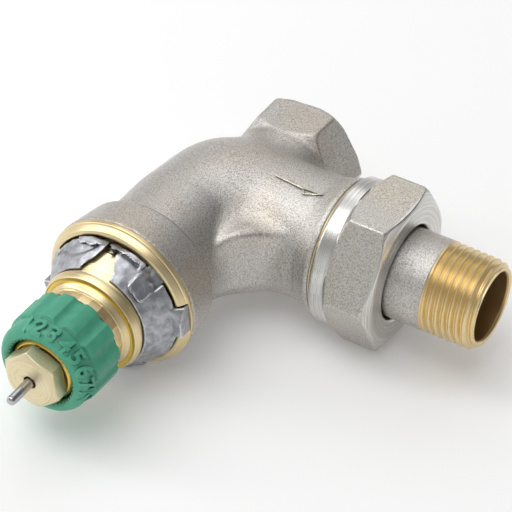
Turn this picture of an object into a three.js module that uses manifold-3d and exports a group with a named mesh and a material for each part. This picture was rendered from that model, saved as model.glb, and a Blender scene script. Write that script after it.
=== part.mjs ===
// Angle-pattern thermostatic radiator valve with a pressure-independent insert, size DN10 (R 3/8).
// Units are millimetres. The valve lies on its side: the tail points along +X, the inlet opens
// towards +Y, the presetting ring and the pressure pin point along -Y, and Z is up.
// Outlines of turned pieces are lists of [radius, station]; a station is a place along the axis,
// measured from the point where the head axis and the tail axis cross.
import * as THREE from "three";
import * as BufferGeometryUtils from "three/addons/utils/BufferGeometryUtils.js";
import Module from "manifold-3d";

const wasm = await Module();
wasm.setup();

// ---- driving dimensions -------------------------------------------------------------------
const GAP = 0.3; // clearance kept between neighbouring solids
const SEGMENTS = 28; // sides of a large turned piece
const SMALL_SEGMENTS = 16; // sides of a small turned piece

// casting
const LEG_R = 11.9; // round legs of the casting
const BEND_R = 12.1; // centre-line radius of the elbow between head and tail
const LEG_OVERLAP = 1.5; // how far the straight legs reach into the elbow
const COLLAR_BACK = -23.4; // head collar, from its shoulder ...
const COLLAR_EDGE = -31.1; // ... to where the plating ends ...
const COLLAR_FRONT = -33.4; // ... and to its machined front face
const COLLAR_BACK_R = 13.6;
const COLLAR_EDGE_R = 14.7;
const COLLAR_FRONT_R = 14.2;
const INLET_X = 6.4; // the inlet axis stands off the head axis ...
const INLET_Z = -0.8; // ... and a little below it
const INLET_PHASE = 2.5; // degrees by which the hexagon's corners stand off the horizontal
const INLET_FACE = 22; // inlet end face, measured from the tail axis
const INLET_HEX_AF = 21.4;
const INLET_HEX_LENGTH = 9.6;
const INLET_NECK_R = 10.6;
const INLET_THREAD_R = 7.6; // Rp 3/8
const PASSAGE_R = 6; // bore of the outlet leg
const SHOULDER_X = 26.5; // machined shoulder behind the union thread
const SHOULDER_R = 12.9;
const SPIGOT_X = 33.6; // end of the union thread
const UNION_THREAD_R = 11.45; // G 5/8
const UNION_PITCH = 1.814;
const SEAT_Y = 5.9; // valve seat
const PAD_DISTANCE = 20.6; // flat pad in the inner corner, measured from the crossing
const PAD_TOP = 8.1;

// chamber of the insert, cut into the casting
const CHAMBER_R = 11.2;
const CHAMBER_END = -21.5;
const CAGE_BORE_R = 8.7;

// insert and neck
const HEX_AF = 19;
const HEX_PHASE = -10; // degrees
const HEX_CORNER_R = 10.7;
const HEX_FRONT = -35.4; // in front of this the hexagon's corners taper down to the neck
const NECK_FLANGE_R = 10;
const NECK_FLANGE_FRONT = -41.5;
const NECK_FLANGE_BACK = -39.5;
const NECK_SHAFT_R = 9;
const NECK_FACET_R = 7.6;
const NECK_FACETS = 12;
const FACETS_FRONT = -45.1;
const NECK_FRONT = -50;
const NECK_BEARING_R = 6.9;

// locking ring
const LOCK_R = 12.1;
const LOCK_HOLE_R = 9.8;
const LOCK_FRONT_R = 10.3;
const LOCK_BACK = -33.2;
const LOCK_FRONT = -39.2;
const LUG_ANGLES = [5, -78, -162]; // degrees from +X towards +Z
const LUG_R = 14.4;
const LUG_WIDTH = 5.6;
const LUG_BACK = -31.5;
const LUG_FRONT = -34.8;

// presetting ring
const RING_BACK = -45.4;
const RING_STEP = -51.7; // the numbered band is a little smaller than the fluted one
const RING_FRONT = -56;
const RING_R = 9.3;
const RING_BAND_R = 8.85;
const RING_MOUTH_R = 6.6;
const RING_FLATS = 12;

// gland and pin
const GLAND_AF = 10;
const GLAND_FRONT = -58.9;
const GLAND_SHOULDER = -55.7; // the hexagon ends here, clear of the sleeve
const GLAND_PHASE = 40; // degrees
const PIN_R = 0.9;
const PIN_TIP = -64.6;
const SPINDLE_R = 1.5;

// tail
const NUT_BACK = 26.9;
const NUT_COLLAR_R = 13.8;
const NUT_HEX_START = 3.3; // measured from the back of the nut
const NUT_LENGTH = 12.6;
const NUT_AF = 27;
const NUT_HOLE_R = 8.95;
const NUT_PHASE = 29; // degrees from a corner of the nut to the vertical
const TAIL_END = 56.4;
const TAIL_BORE_R = 6.45;
const TAIL_PIPE_R = 8.5;
const TAIL_THREAD_R = 8.33; // R 3/8
const TAIL_THREAD_PITCH = 1.337;
const TAIL_THREAD_DEPTH = 0.85;
const TAIL_THREAD_TURNS = 7;

// ---- small tools --------------------------------------------------------------------------
const degrees = THREE.MathUtils.degToRad;

function outlineArea(points) {
  return points.reduce((area, [r, s], i) => {
    const [nextR, nextS] = points[(i + 1) % points.length];
    return area + (r * nextS - nextR * s) / 2;
  }, 0);
}

// A piece turned about Y from a closed outline of [radius, station].
function turned(points, segments = SEGMENTS) {
  const ordered = outlineArea(points) > 0 ? points : [...points].reverse();
  const start = ordered.findIndex(([r], i) => r === 0 && ordered.at(i - 1)[0] === 0);
  const touchesAxis = start >= 0;
  const run = touchesAxis
    ? [...ordered.slice(start), ...ordered.slice(0, start)]
    : [...ordered, ordered[0]];
  return new THREE.LatheGeometry(run.map(([r, s]) => new THREE.Vector2(r, s)), segments);
}

// A straight bar with a regular many-sided section about Y; acrossFlats is its width.
function prism(acrossFlats, sides, low, high, phase = 0) {
  const cornerR = acrossFlats / 2 / Math.cos(Math.PI / sides);
  const bar = new THREE.CylinderGeometry(cornerR, cornerR, high - low, sides);
  bar.rotateY(degrees(phase));
  return bar.translate(0, (low + high) / 2, 0);
}

function box(sizes, centre) {
  return new THREE.BoxGeometry(...sizes).translate(...centre);
}

function ring(innerR, outerR, low, high, segments = SMALL_SEGMENTS) {
  return turned([[innerR, low], [outerR, low], [outerR, high], [innerR, high]], segments);
}

function oRing(centreR, sectionR, station) {
  const section = Array.from({ length: 6 }, (_, i) => {
    const turn = (i / 6) * 2 * Math.PI;
    return [centreR + sectionR * Math.cos(turn), station + sectionR * Math.sin(turn)];
  });
  return turned(section, SMALL_SEGMENTS);
}

function spring(coilR, wireR, low, high, turns) {
  class Helix extends THREE.Curve {
    getPoint(t, target = new THREE.Vector3()) {
      const turn = t * turns * 2 * Math.PI;
      return target.set(coilR * Math.cos(turn), low + t * (high - low), coilR * Math.sin(turn));
    }
  }
  const wire = new THREE.Shape().absarc(0, 0, wireR, 0, 2 * Math.PI);
  const steps = turns * 10;
  return new THREE.ExtrudeGeometry(wire, {
    steps, curveSegments: 3, extrudePath: new Helix(), bevelEnabled: false,
  });
}

function solid(geometry) {
  const bare = geometry.clone();
  bare.deleteAttribute("normal");
  bare.deleteAttribute("uv");
  const merged = BufferGeometryUtils.mergeVertices(bare, 1e-4);
  const vertProperties = new Float32Array(merged.attributes.position.array);
  const triVerts = new Uint32Array(merged.index.array);
  return new wasm.Manifold(new wasm.Mesh({ numProp: 3, vertProperties, triVerts }));
}

function geometryOf(manifold) {
  const cut = manifold.getMesh();
  const geometry = new THREE.BufferGeometry();
  geometry.setAttribute("position", new THREE.BufferAttribute(cut.vertProperties, 3));
  geometry.setIndex(new THREE.BufferAttribute(cut.triVerts, 1));
  geometry.computeVertexNormals();
  return geometry;
}

const joined = (...pieces) => pieces.map(solid).reduce((sum, piece) => sum.add(piece));
const disc = (radius, low, high) => turned([[0, low], [radius, low], [radius, high], [0, high]]);
const aboutX = (geometry) => geometry.rotateZ(-Math.PI / 2);

// ---- materials ----------------------------------------------------------------------------
const finish = (color, roughness, metalness) =>
  new THREE.MeshStandardMaterial({ color, roughness, metalness });
const NICKEL = [0xb4aea4, 0.38, 1];
const BRASS = [0xc9ab62, 0.3, 1];
const STEEL = [0x8d8f94, 0.25, 1];
const ZINC = [0x85878f, 0.45, 1];
const GREEN = [0x43a384, 0.5, 0];
const RUBBER = [0x1d1d1f, 0.8, 0];
const POLYMER = [0x2f3236, 0.6, 0];

function piece(name, geometry, look) {
  const mesh = new THREE.Mesh(geometry, finish(...look));
  mesh.name = name;
  return mesh;
}

// ---- valve body ---------------------------------------------------------------------------
function headLeg() {
  return turned([
    [0, LEG_OVERLAP - BEND_R], [LEG_R, LEG_OVERLAP - BEND_R], [LEG_R, COLLAR_BACK + 1.6],
    [COLLAR_BACK_R, COLLAR_BACK], [COLLAR_EDGE_R, COLLAR_EDGE + 0.8], [COLLAR_EDGE_R, COLLAR_EDGE - 0.5],
    [COLLAR_FRONT_R, COLLAR_FRONT], [0, COLLAR_FRONT],
  ]);
}

function elbow() {
  class QuarterBend extends THREE.Curve {
    getPoint(t, target = new THREE.Vector3()) {
      const turn = Math.PI - (t * Math.PI) / 2;
      return target.set(BEND_R + BEND_R * Math.cos(turn), -BEND_R + BEND_R * Math.sin(turn), 0);
    }
  }
  const section = new THREE.Shape().absarc(0, 0, LEG_R, 0, 2 * Math.PI);
  return new THREE.ExtrudeGeometry(section, {
    steps: 6, curveSegments: 14, extrudePath: new QuarterBend(), bevelEnabled: false,
  });
}

function outletLeg() {
  const rootR = UNION_THREAD_R - 1.1;
  const ridges = [0, 1, 2].flatMap((turn) => {
    const start = SHOULDER_X + 1.3 + turn * UNION_PITCH;
    return [[rootR, start], [UNION_THREAD_R, start + 0.75], [UNION_THREAD_R, start + 1.05]];
  });
  return aboutX(turned([
    [0, BEND_R - LEG_OVERLAP], [LEG_R, BEND_R - LEG_OVERLAP], [LEG_R, SHOULDER_X - 3],
    [SHOULDER_R, SHOULDER_X - 0.8], [SHOULDER_R, SHOULDER_X], [rootR, SHOULDER_X], ...ridges,
    [rootR, SPIGOT_X - 0.2], [rootR - 0.3, SPIGOT_X], [0, SPIGOT_X],
  ]));
}

function inletLeg() {
  const neck = turned([[0, -6], [INLET_NECK_R, -6], [INLET_NECK_R, INLET_FACE - 6], [0, INLET_FACE - 6]]);
  const hex = solid(prism(INLET_HEX_AF, 6, INLET_FACE - INLET_HEX_LENGTH, INLET_FACE, 90 - INLET_PHASE));
  const cornerR = INLET_HEX_AF / 2 / Math.cos(Math.PI / 6);
  const chamfered = solid(turned([
    [0, 0], [cornerR - 1.6, INLET_FACE - INLET_HEX_LENGTH],
    [cornerR + 0.1, INLET_FACE - INLET_HEX_LENGTH + 1.7],
    [cornerR + 0.1, INLET_FACE - 1.2], [cornerR - 1.4, INLET_FACE], [0, INLET_FACE],
  ]));
  return hex.intersect(chamfered).add(solid(neck)).translate([INLET_X, 0, INLET_Z]);
}

// The web that fills the corner between the legs has a flat outer face with an arched top.
// This is a bar of that outline, from one distance from the crossing to another.
function archBar(near, far, margin = 0) {
  const arch = new THREE.Shape();
  arch.moveTo(-7 - margin, 0);
  arch.lineTo(-6 - margin, -PAD_TOP - margin);
  arch.lineTo(8.5 + margin, -PAD_TOP - margin);
  arch.lineTo(10 + margin, 0);
  arch.absellipse(1.5, 0, 8.5 + margin, PAD_TOP + margin, 0, Math.PI);
  const bar = new THREE.ExtrudeGeometry(arch, { depth: far - near, curveSegments: 8, bevelEnabled: false });
  return bar.rotateX(Math.PI / 2).translate(0, -near, 0).rotateZ(degrees(45));
}

function lugBox(angle, clearance) {
  const inner = LOCK_R - 0.8;
  const outer = LUG_R + (clearance ? 3 : 0);
  const low = LUG_FRONT;
  const high = LUG_BACK + clearance;
  const sizes = [outer - inner, high - low, LUG_WIDTH + 2 * clearance];
  const lug = box(sizes, [(outer + inner) / 2, (low + high) / 2, 0]);
  return lug.rotateY(degrees(-angle));
}

function valveBody() {
  const bulb = new THREE.SphereGeometry(1, 24, 12).scale(13.8, 13.8, LEG_R).translate(3.1, -1.3, 0);
  const legs = joined(elbow(), bulb, archBar(8.6, PAD_DISTANCE + 0.5), outletLeg());
  const padCut = solid(archBar(PAD_DISTANCE, PAD_DISTANCE + 6, 0.3));
  const outside = legs.subtract(padCut).add(solid(headLeg())).add(inletLeg());
  const headBore = turned([
    [0, COLLAR_FRONT - 1], [13.1, COLLAR_FRONT - 1], [12.9, COLLAR_FRONT], [12.4, -30.6],
    [CHAMBER_R, -30.6],
    [CHAMBER_R, CHAMBER_END], [CAGE_BORE_R, CHAMBER_END], [CAGE_BORE_R, -7], [7, -5], [7, SEAT_Y - 1],
    [5, SEAT_Y - 1], [5, SEAT_Y], [4, SEAT_Y], [4, SEAT_Y + 2], [0, SEAT_Y + 2],
  ]);
  const inletBore = turned([
    [0, SEAT_Y + 1.5], [5.4, SEAT_Y + 1.5], [5.4, 10.6], [INLET_THREAD_R, 11.4],
    [INLET_THREAD_R, INLET_FACE - 0.8],
    [INLET_THREAD_R + 0.8, INLET_FACE], [INLET_THREAD_R + 0.8, INLET_FACE + 1], [0, INLET_FACE + 1],
  ], 24).translate(INLET_X, 0, INLET_Z);
  const outletBore = aboutX(turned([
    [0, 2], [PASSAGE_R, 2], [PASSAGE_R, SPIGOT_X - 3.4], [9.2, SPIGOT_X], [9.2, SPIGOT_X + 1],
    [0, SPIGOT_X + 1],
  ], 24));
  const notches = LUG_ANGLES.map((angle) => solid(lugBox(angle, GAP)));
  const cavities = joined(headBore, inletBore, outletBore);
  return geometryOf(notches.reduce((body, notch) => body.subtract(notch), outside.subtract(cavities)));
}

// ---- insert -------------------------------------------------------------------------------
function insertHousing() {
  const blank = solid(turned([
    [4.95 + GAP, NECK_FRONT], [NECK_BEARING_R, NECK_FRONT], [NECK_BEARING_R, FACETS_FRONT],
    [8.6, FACETS_FRONT], [8.6, NECK_FLANGE_FRONT], [9.5, NECK_FLANGE_FRONT + 0.3],
    [NECK_FLANGE_R, NECK_FLANGE_FRONT + 1.2], [NECK_FLANGE_R, NECK_FLANGE_BACK],
    [NECK_SHAFT_R, NECK_FLANGE_BACK], [HEX_CORNER_R, HEX_FRONT],
    [HEX_CORNER_R, -30.3], [10.9, -30.3], [10.9, -27.8], [9.5, -27.8], [9.5, -26.1], [10.9, -26.1],
    [10.9, -25.2], [8.8, -25.2], [8.8, -31], [6, -31], [6, -40.6], [4.95 + GAP, -41.2],
  ]));
  const aroundFacets = [
    prism(2 * NECK_FACET_R, NECK_FACETS, FACETS_FRONT - 0.1, NECK_FLANGE_FRONT + 0.1),
    disc(7.5, NECK_FRONT - 1, FACETS_FRONT - 0.05), disc(12, NECK_FLANGE_FRONT + 0.05, -24),
  ];
  const aroundHex = [
    prism(HEX_AF, 6, NECK_FLANGE_BACK + 0.1, -30.2, HEX_PHASE),
    disc(12, NECK_FRONT - 1, NECK_FLANGE_BACK + 0.15), disc(12, -31.2, -24),
  ];
  return geometryOf(blank.intersect(joined(...aroundFacets)).intersect(joined(...aroundHex)));
}

function lockingRing() {
  const band = solid(turned([
    [9.3, LOCK_BACK], [LOCK_R, LOCK_BACK], [LOCK_R + 0.3, LOCK_BACK - 1], [LOCK_R, LOCK_BACK - 1.7],
    [LOCK_FRONT_R, LOCK_FRONT], [9.3, LOCK_FRONT],
  ]));
  const hole = joined(
    prism(HEX_AF + 2 * GAP, 6, LOCK_FRONT - 1, LOCK_BACK + 1, HEX_PHASE),
    disc(LOCK_HOLE_R, LOCK_FRONT - 1, LOCK_BACK + 1),
  );
  const lugs = LUG_ANGLES.map((angle) => solid(lugBox(angle, 0))).reduce((sum, lug) => sum.add(lug));
  return geometryOf(band.add(lugs).subtract(hole));
}

// ---- presetting ---------------------------------------------------------------------------
function presettingRing() {
  const blank = solid(turned([
    [NECK_BEARING_R + GAP, RING_BACK], [RING_R, RING_BACK], [RING_R, RING_STEP],
    [RING_BAND_R, RING_STEP - 0.3], [RING_BAND_R, RING_FRONT + 2.2], [RING_BAND_R - 0.3, RING_FRONT + 1.1],
    [RING_BAND_R - 0.9, RING_FRONT + 0.4], [RING_MOUTH_R + 0.5, RING_FRONT],
    [RING_MOUTH_R + 0.2, RING_FRONT], [RING_MOUTH_R, RING_FRONT + 0.3], [RING_MOUTH_R, NECK_FRONT - GAP],
    [NECK_BEARING_R + GAP, NECK_FRONT - GAP],
  ], 40));
  const aroundGrip = [
    prism(2 * RING_BAND_R, RING_FLATS, RING_STEP, RING_BACK + 1), disc(12, RING_FRONT - 1, RING_STEP + 0.05),
  ];
  return geometryOf(blank.intersect(joined(...aroundGrip)));
}

function presettingSleeve() {
  return turned([
    [4.2, -54.6], [5.1, -54.6], [5.3, -55.4], [5.5, -55.4], [6, -54.9], [6, -50.6], [4.95, -50.6],
    [4.95, -45.1], [4, -45.1], [4, -43.5], [4.95, -43.5], [4.95, -41.8], [3.9, -41.8], [3.9, -2],
    [2.8, -2], [2.8, -33], [1.8, -33], [1.8, -34.2], [3.4, -34.2], [3.4, -46], [4.2, -46.2],
  ], 20);
}

function glandNut() {
  const bar = solid(prism(GLAND_AF, 6, GLAND_FRONT, GLAND_SHOULDER, 90 - GLAND_PHASE));
  const cornerR = GLAND_AF / 2 / Math.cos(Math.PI / 6);
  const chamfer = solid(turned([
    [0, GLAND_FRONT], [cornerR - 1, GLAND_FRONT], [cornerR + 0.05, GLAND_FRONT + 0.65],
    [cornerR + 0.05, GLAND_SHOULDER], [0, GLAND_SHOULDER],
  ], 20));
  const head = bar.intersect(chamfer);
  const shank = solid(turned([
    [0, GLAND_SHOULDER - 0.2], [3.9, GLAND_SHOULDER - 0.2], [3.9, -46.6], [0, -46.6],
  ], 20));
  const hole = solid(turned([
    [0, GLAND_FRONT - 1], [PIN_R + 0.25, GLAND_FRONT - 1], [PIN_R + 0.25, -55.4], [2.3, -55.4],
    [2.3, -46], [0, -46],
  ], 20));
  return geometryOf(head.add(shank).subtract(hole));
}

// ---- plunger: pin, spindle and cone --------------------------------------------------------
function pressurePin() {
  return turned([
    [0, PIN_TIP], [0.45, PIN_TIP], [0.78, PIN_TIP + 0.2], [PIN_R, PIN_TIP + 0.6], [PIN_R, -47.8],
    [1.7, -47.8],
    [1.7, -46.6], [0, -46.6],
  ]);
}

function valveSpindle() {
  return turned([
    [0, -46.3], [SPINDLE_R, -46.3], [SPINDLE_R, -44.6], [2.9, -44.6], [2.9, -43.8],
    [SPINDLE_R, -43.8], [SPINDLE_R, -1.3],
    [1.1, -1.3], [1.1, 4.6], [0, 4.6],
  ], SMALL_SEGMENTS);
}

// ---- differential-pressure regulator -------------------------------------------------------
function regulatorCage() {
  const shell = solid(turned([
    [5.95, -8.4], [8.3, -8.4], [8.3, -21.8], [10.8, -21.8], [10.8, -23.7], [7.5, -23.7], [7.5, -9.6],
    [5.95, -9.6],
  ]));
  const windows = [0, 1].map((i) => solid(box([20, 5, 5], [0, -15, 0]).rotateY((i * Math.PI) / 2)));
  return geometryOf(windows.reduce((cage, window) => cage.subtract(window), shell));
}

function regulatorPiston() {
  return turned([[4.3, -23.6], [7, -23.6], [7, -22.7], [5.6, -22.5], [5.6, -5.6], [4.3, -5.6]], 20);
}

function diaphragm() {
  return turned([
    [4.4, -24.9], [7.2, -24.9], [7.6, -25.7], [8.1, -25.7], [8.5, -24.9], [10.8, -24.9], [10.8, -24],
    [8, -24],
    [7.8, -24.7], [7.4, -24], [4.4, -24],
  ], 20);
}

// ---- tail ---------------------------------------------------------------------------------
function tailpiece() {
  const start = TAIL_END - 0.9 - TAIL_THREAD_TURNS * TAIL_THREAD_PITCH;
  const ridges = Array.from({ length: TAIL_THREAD_TURNS }, (_, turn) => {
    const s = start + turn * TAIL_THREAD_PITCH;
    const crest = TAIL_THREAD_R + ((TAIL_END - 6.4 - s) / 16) * 0.5;
    return [[crest - TAIL_THREAD_DEPTH, s], [crest, s + 0.55], [crest, s + 0.8]];
  }).flat();
  return aboutX(turned([
    [TAIL_BORE_R, SPIGOT_X - 2], [7, SPIGOT_X - 1.85], [8.8, SPIGOT_X + 0.1], [10.3, SPIGOT_X + GAP],
    [10.8, SPIGOT_X + GAP + 0.5], [10.8, 36.2],
    [TAIL_PIPE_R, 36.8],
    [TAIL_PIPE_R, start - 0.5], ...ridges, [TAIL_THREAD_R - TAIL_THREAD_DEPTH, TAIL_END - 0.7],
    [TAIL_THREAD_R - 1, TAIL_END], [TAIL_BORE_R + 0.15, TAIL_END],
    [TAIL_BORE_R, TAIL_END - 0.3],
  ]));
}

function unionNut() {
  const outside = solid(prism(NUT_AF, 6, NUT_HEX_START, NUT_LENGTH, NUT_PHASE))
    .intersect(solid(turned([
      [0, 0], [15.3, NUT_HEX_START], [15.7, NUT_HEX_START + 0.4], [15.7, NUT_LENGTH - 1.4],
      [13.3, NUT_LENGTH], [0, NUT_LENGTH],
    ])))
    .add(solid(turned([
      [0, 0], [NUT_COLLAR_R - 0.4, 0], [NUT_COLLAR_R, 0.4], [NUT_COLLAR_R, 5], [0, 5],
    ])));
  const hole = turned([
    [0, -1], [11.75, -1], [11.75, 9.6], [NUT_HOLE_R, 9.9], [NUT_HOLE_R, NUT_LENGTH + 1],
    [0, NUT_LENGTH + 1],
  ]);
  return aboutX(geometryOf(outside.subtract(solid(hole)))).translate(NUT_BACK, 0, 0);
}

// ---- assembly -----------------------------------------------------------------------------
const group = new THREE.Group();
const valve = new THREE.Group();
valve.add(
  piece("valve_body", valveBody(), NICKEL),
  piece("insert_housing", insertHousing(), BRASS),
  piece("locking_ring", lockingRing(), ZINC),
  piece("housing_o_ring", oRing(10.35, 0.5, -26.95), RUBBER),
  piece("presetting_ring", presettingRing(), GREEN),
  piece("presetting_sleeve", presettingSleeve(), BRASS),
  piece("sleeve_o_ring", oRing(4.63, 0.33, -44.3), RUBBER),
  piece("gland_nut", glandNut(), BRASS),
  piece("gland_o_ring", oRing(1.6, 0.38, -54.6), RUBBER),
  piece("gland_washer", ring(1.2, 2, -53.8, -53.2), BRASS),
  piece("pressure_pin", pressurePin(), STEEL),
  piece("valve_spindle", valveSpindle(), STEEL),
  piece("return_spring", spring(2.65, 0.35, -43.1, -34.9, 6), STEEL),
  piece("spindle_circlip", ring(1.8, 2.5, -32.7, -32.2), STEEL),
  piece("spindle_o_ring", oRing(2.15, 0.3, -12), RUBBER),
  piece("valve_cone", ring(1.4, 4.6, -1, 1.5), BRASS),
  piece("cone_washer", ring(1.4, 4.4, 1.8, 3.4), RUBBER),
  piece("cone_retainer", ring(1.4, 2.4, 3.7, 4.2), STEEL),
  piece("diaphragm", diaphragm(), RUBBER),
  piece("diaphragm_plate", ring(4.4, 6.8, -26.1, -25.2, 20), BRASS),
  piece("regulator_piston", regulatorPiston(), BRASS),
  piece("regulator_spring", spring(6.45, 0.4, -22, -10.4, 5), STEEL),
  piece("regulator_cage", regulatorCage(), POLYMER),
  piece("tailpiece", tailpiece(), NICKEL),
  piece("union_nut", unionNut(), NICKEL),
);

// The origin is the middle of the footprint, on the surface that the valve lies on.
valve.position.set((COLLAR_EDGE_R - TAIL_END) / 2, -(PIN_TIP + INLET_FACE) / 2, COLLAR_EDGE_R);
group.add(valve);

export default group;
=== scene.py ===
"""Looks of an angle-pattern thermostatic radiator valve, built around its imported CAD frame.

Shapes are made in millimetres in the valve's own frame: the origin is where the head axis and
the tail axis cross, the tail points along +X, the head along -Y and Z is up. Turned pieces are
outlines of (radius, station); angles on the head run from +X towards +Z and on the tail from
+Y towards +Z.
"""
import math

import bmesh
import bpy
import numpy as np
from mathutils import Matrix, Vector


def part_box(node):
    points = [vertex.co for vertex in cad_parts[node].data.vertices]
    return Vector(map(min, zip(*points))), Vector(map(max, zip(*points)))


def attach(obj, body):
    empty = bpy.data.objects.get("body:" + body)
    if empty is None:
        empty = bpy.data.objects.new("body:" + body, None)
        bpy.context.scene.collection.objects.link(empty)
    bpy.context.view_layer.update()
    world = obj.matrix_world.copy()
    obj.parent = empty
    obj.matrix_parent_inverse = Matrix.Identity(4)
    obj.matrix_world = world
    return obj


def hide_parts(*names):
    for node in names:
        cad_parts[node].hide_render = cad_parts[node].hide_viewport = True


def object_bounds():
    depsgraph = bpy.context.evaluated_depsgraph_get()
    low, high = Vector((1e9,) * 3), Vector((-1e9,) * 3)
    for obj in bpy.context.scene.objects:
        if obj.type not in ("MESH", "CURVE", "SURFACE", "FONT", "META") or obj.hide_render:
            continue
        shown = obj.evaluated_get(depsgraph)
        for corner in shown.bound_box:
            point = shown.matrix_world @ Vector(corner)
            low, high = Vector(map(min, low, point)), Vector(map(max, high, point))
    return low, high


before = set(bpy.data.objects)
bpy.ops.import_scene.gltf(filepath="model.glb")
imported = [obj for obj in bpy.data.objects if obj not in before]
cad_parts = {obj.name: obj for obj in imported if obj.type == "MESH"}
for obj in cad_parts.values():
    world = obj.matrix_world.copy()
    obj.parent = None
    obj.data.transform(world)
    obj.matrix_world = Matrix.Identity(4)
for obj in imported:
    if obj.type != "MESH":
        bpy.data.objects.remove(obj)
cad_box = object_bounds()

MM = 0.001
TURN = 2 * math.pi


def middle(node):
    low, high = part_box(node)
    return (low + high) / 2 / MM


ORIGIN = np.array([middle("pressure_pin").x, middle("tailpiece").y, middle("pressure_pin").z])


def extent(node):
    """Lowest and highest corner of a CAD node in the valve's own frame."""
    low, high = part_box(node)
    return np.array(low) / MM - ORIGIN, np.array(high) / MM - ORIGIN


# ---- dimensions taken from the frame ------------------------------------------------------
body_low, body_high = extent("valve_body")
COLLAR_FRONT = body_low[1]
COLLAR_R = -body_low[2]
INLET_FACE = body_high[1]
SPIGOT_END = body_high[0]
RING_FRONT, RING_BACK = extent("presetting_ring")[0][1], extent("presetting_ring")[1][1]
RING_R = extent("presetting_ring")[1][0]
SLEEVE_FRONT = extent("presetting_sleeve")[0][1]
SLEEVE_BACK = extent("presetting_sleeve")[1][1]
GLAND_FRONT, GLAND_BACK = extent("gland_nut")[0][1], extent("gland_nut")[1][1]
PIN_TIP, PIN_BACK = extent("pressure_pin")[0][1], extent("pressure_pin")[1][1]
NECK_FRONT, NECK_BACK = extent("insert_housing")[0][1], extent("insert_housing")[1][1]
NUT_BACK, NUT_FRONT = extent("union_nut")[0][0], extent("union_nut")[1][0]
TAIL_START, TAIL_END = extent("tailpiece")[0][0], extent("tailpiece")[1][0]

# ---- casting ------------------------------------------------------------------------------
LEG_R = 11.9
BEND_R = 12.1
COLLAR_BACK = -23.4
COLLAR_EDGE = -31.1  # the plating ends here and the machined rim starts
COLLAR_BORE_R = 12.4
CHAMBER_R = 11.2
INLET_X, INLET_Z = 6.4, -0.8
INLET_FLATS = 21.4
INLET_PHASE = 2.5
INLET_NECK_R = 10.6
INLET_BORE_R = 7.6
INLET_HEX_LENGTH = 9.6
SHOULDER = 26.5
SHOULDER_R = 12.9
PASSAGE_R = 6.0
UNION_R = 11.45
UNION_PITCH = 1.814
PAD_DISTANCE = 20.6
PAD_TOP = 7.6
PAD_MIDDLE = 1.8
PAD_HALF = 7.4
PAD_SKEW = -0.09  # the arch leans a little towards the head
PAD_SQUARENESS = 0.66
PAD_FOOT, PAD_BEVEL = -4.4, 0.42
PAD_ROOT = 8.6
BULB_CENTRE = (3.1, -1.3, 0.0)
BULB_REACH = 13.8
CASTING_MARKS = ((-0.5, -12.5, 11.75), (7.0, 1.5, 12.0), (8.3, -18.6, 5.2))
CAST_STEP = 0.36

# ---- neck, locking ring, presetting -------------------------------------------------------
NECK_FLATS = 19.4
HEX_CORNER = 91.0
FACET_FLATS = 15.3
FACETS = 24
FLANGE_FRONT = -41.5
FLANGE_R = 9.95
HEX_FRONT, HEX_BACK = -35.0, -31.2
NECK_STEP = -45.1  # the thinner bearing under the dial ends here
LOCK_STEP = 0.19
LUG_ANGLES = (5.0, -78.0, -162.0)
BOSS_ANGLE = 47.5
SLIT_ANGLE = 92.5
SHELL_FRONT_R, SHELL_SLOPE = 10.0, 0.58  # the ring's cone, from its front edge back
RING_BAND_R = 8.85
RING_MOUTH_R = 6.6
FLUTES = 12
RIB_ANGLE = 65.5
RIB_SHARE = 0.48
FLUTE_DEPTH = 0.56
ARCH_FOOT, ARCH_RISE, ARCH_SHARE = RING_FRONT + 3.6, 0.45, 0.6
DIGIT_SIZE, DIGIT_STEP = 4.3, 18.0
FIRST_DIGIT = 113.0
GLAND_FLATS = 10.0
GLAND_PHASE = 40.0

# ---- tail ---------------------------------------------------------------------------------
NUT_FLATS = 27.0
NUT_PHASE = 29.0
NUT_COLLAR_R = 13.8
NUT_HOLE_R = 8.95
PIPE_R = 8.5
TAIL_BORE_R = 6.45
THREAD_R = 8.33
THREAD_PITCH = 1.337
THREAD_TURNS = 7
THREAD_DEPTH = 0.8


# ---- mesh tools ---------------------------------------------------------------------------
def new_piece(name, points, faces, materials, slots=None, weighted=True):
    """A mesh object in the row frame from points in millimetres; slots picks a material per face."""
    mesh = bpy.data.meshes.new(name)
    mesh.from_pydata(((np.asarray(points) + ORIGIN) * MM).tolist(), [], faces)
    for material in materials:
        mesh.materials.append(material)
    if slots is not None:
        mesh.polygons.foreach_set("material_index", np.asarray(slots, np.int32))
    work = bmesh.new()
    work.from_mesh(mesh)
    bmesh.ops.remove_doubles(work, verts=work.verts, dist=1e-7)
    bmesh.ops.recalc_face_normals(work, faces=work.faces)
    work.to_mesh(mesh)
    work.free()
    mesh.polygons.foreach_set("use_smooth", np.ones(len(mesh.polygons), bool))
    mesh.update()
    piece = bpy.data.objects.new(name, mesh)
    bpy.context.scene.collection.objects.link(piece)
    if weighted:
        piece.modifiers.new("normals", "WEIGHTED_NORMAL").keep_sharp = True
    return piece


def rounded(outline, radius=0.15, closed=True):
    """The outline with each corner replaced by a short arc."""
    points = [np.array(p, float) for p in outline]
    result = []
    for i, corner in enumerate(points):
        ends = (not closed) and i in (0, len(points) - 1)
        before, after = points[i - 1], points[(i + 1) % len(points)]
        back, ahead = before - corner, after - corner
        reach = min(radius, 0.45 * np.linalg.norm(back), 0.45 * np.linalg.norm(ahead))
        if ends or reach < 1e-4 or corner[0] < 1e-6:
            result.append(corner)
            continue
        start = corner + back / np.linalg.norm(back) * reach
        stop = corner + ahead / np.linalg.norm(ahead) * reach
        for t in (0, 0.33, 0.67, 1):
            result.append((1 - t) ** 2 * start + 2 * t * (1 - t) * corner + t * t * stop)
    return result


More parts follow.
